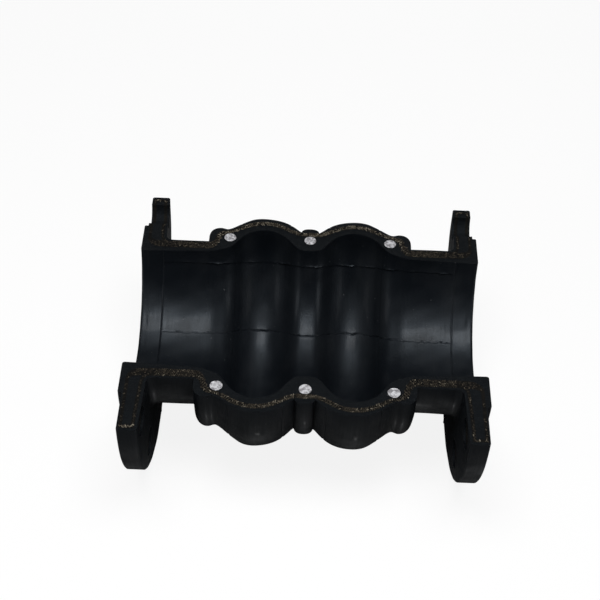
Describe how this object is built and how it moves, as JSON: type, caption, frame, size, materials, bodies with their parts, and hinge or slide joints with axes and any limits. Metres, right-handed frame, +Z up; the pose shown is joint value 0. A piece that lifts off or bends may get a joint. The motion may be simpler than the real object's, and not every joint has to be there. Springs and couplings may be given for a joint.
{
  "type": "rubber expansion joint",
  "caption": "Half-sectioned rubber expansion joint with two arches, flanged ends, fabric plies and embedded steel rings; arches flex along and across the pipe axis.",
  "frame": {"origin": "middle of the joint on the bore's axis, in the plane of the lengthwise cut", "axes": "+X along the bore to the right-hand flange, +Z up out of the cut face, the half shell lies below z = 0"},
  "size_m": [0.225, 0.21, 0.105],
  "materials": {
    "tube_rubber": "satin bluish-black moulded rubber",
    "cover_rubber": "satin black moulded rubber",
    "core_rubber": "matt sawn black rubber",
    "ply_fabric": "rubber-dipped brown and cream cords, sawn across",
    "ring_steel": "bare sawn steel ends"
  },
  "bodies": {
    "left_end": {"left_inner_tube": "tube_rubber", "left_flange_core": "core_rubber", "left_carcass": "ply_fabric", "left_outer_cover": "cover_rubber", "left_root_bead": "cover_rubber", "left_root_ring": "ring_steel"},
    "left_arch_outer": {"left_outer_flank_tube": "tube_rubber", "left_outer_flank_carcass": "ply_fabric", "left_outer_flank_cover": "cover_rubber"},
    "left_arch_inner": {"left_crown_tube": "tube_rubber", "left_crown_carcass": "ply_fabric", "left_crown_cover": "cover_rubber"},
    "waist": {"left_inner_flank_tube": "tube_rubber", "left_inner_flank_carcass": "ply_fabric", "left_inner_flank_cover": "cover_rubber", "right_inner_flank_tube": "tube_rubber", "right_inner_flank_carcass": "ply_fabric", "right_inner_flank_cover": "cover_rubber", "waist_tube": "tube_rubber", "waist_carcass": "ply_fabric", "waist_bead": "cover_rubber", "waist_ring": "ring_steel"},
    "right_arch_inner": {"right_crown_tube": "tube_rubber", "right_crown_carcass": "ply_fabric", "right_crown_cover": "cover_rubber"},
    "right_arch_outer": {"right_outer_flank_tube": "tube_rubber", "right_outer_flank_carcass": "ply_fabric", "right_outer_flank_cover": "cover_rubber"},
    "right_end": {"right_inner_tube": "tube_rubber", "right_flange_core": "core_rubber", "right_carcass": "ply_fabric", "right_outer_cover": "cover_rubber", "right_root_bead": "cover_rubber", "right_root_ring": "ring_steel"}
  },
  "joints": [
    {"name": "left_outer_flank_slide", "type": "slide", "parent": "left_end", "child": "left_arch_outer", "axis": [1, 0, 0], "range_m": [-0.00625, 0.00438], "deforming": ["left_outer_flank_tube", "left_outer_flank_carcass", "left_outer_flank_cover"]},
    {"name": "left_arch_bend", "type": "hinge", "parent": "left_arch_outer", "child": "left_arch_inner", "pos_m": [-0.02775, 0, 0], "axis": [0, 0, 1], "range_deg": [-8.75, 8.75], "deforming": ["left_crown_tube", "left_crown_carcass", "left_crown_cover"]},
    {"name": "left_inner_flank_slide", "type": "slide", "parent": "left_arch_inner", "child": "waist", "axis": [1, 0, 0], "range_m": [-0.00625, 0.00438], "deforming": ["left_inner_flank_tube", "left_inner_flank_carcass", "left_inner_flank_cover"]},
    {"name": "right_inner_flank_slide", "type": "slide", "parent": "waist", "child": "right_arch_inner", "axis": [1, 0, 0], "range_m": [-0.00625, 0.00438], "deforming": ["right_inner_flank_tube", "right_inner_flank_carcass", "right_inner_flank_cover"]},
    {"name": "right_arch_bend", "type": "hinge", "parent": "right_arch_inner", "child": "right_arch_outer", "pos_m": [0.02775, 0, 0], "axis": [0, 0, 1], "range_deg": [-8.75, 8.75], "deforming": ["right_crown_tube", "right_crown_carcass", "right_crown_cover"]},
    {"name": "right_outer_flank_slide", "type": "slide", "parent": "right_arch_outer", "child": "right_end", "axis": [1, 0, 0], "range_m": [-0.00625, 0.00438], "deforming": ["right_outer_flank_tube", "right_outer_flank_carcass", "right_outer_flank_cover"]}
  ],
  "couplings": [
    {"joint": "left_inner_flank_slide", "follows": "left_outer_flank_slide", "ratio": 1},
    {"joint": "right_inner_flank_slide", "follows": "left_outer_flank_slide", "ratio": 1},
    {"joint": "right_outer_flank_slide", "follows": "left_outer_flank_slide", "ratio": 1}
  ]
}
